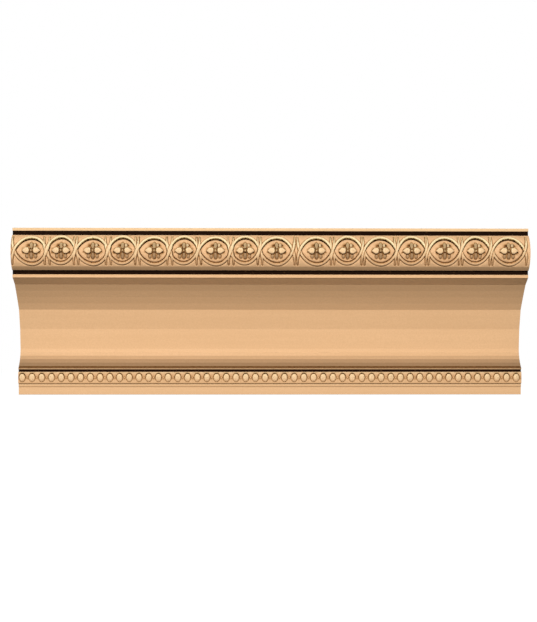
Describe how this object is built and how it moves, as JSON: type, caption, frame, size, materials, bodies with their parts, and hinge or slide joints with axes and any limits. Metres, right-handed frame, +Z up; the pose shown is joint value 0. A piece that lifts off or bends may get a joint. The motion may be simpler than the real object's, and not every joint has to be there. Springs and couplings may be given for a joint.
{
  "type": "cornice moulding section",
  "caption": "Straight length of carved timber cornice: a half-round with interlaced rings and rosettes over a deep cove, a row of oval beads and a plain foot band, flat at the back.",
  "frame": {"origin": "middle of the flat back that goes against the wall", "axes": "+X along the moulding to the right as seen from the front, +Y out of the back into the wall, +Z up"},
  "size_m": [0.5, 0.0645, 0.1634],
  "materials": {
    "timber": "pale tan fine-grained timber, satin, with dark brown glaze left in the quirks and the carved hollows"
  },
  "bodies": {
    "root": {"cornice_moulding": "timber"}
  },
  "joints": []
}
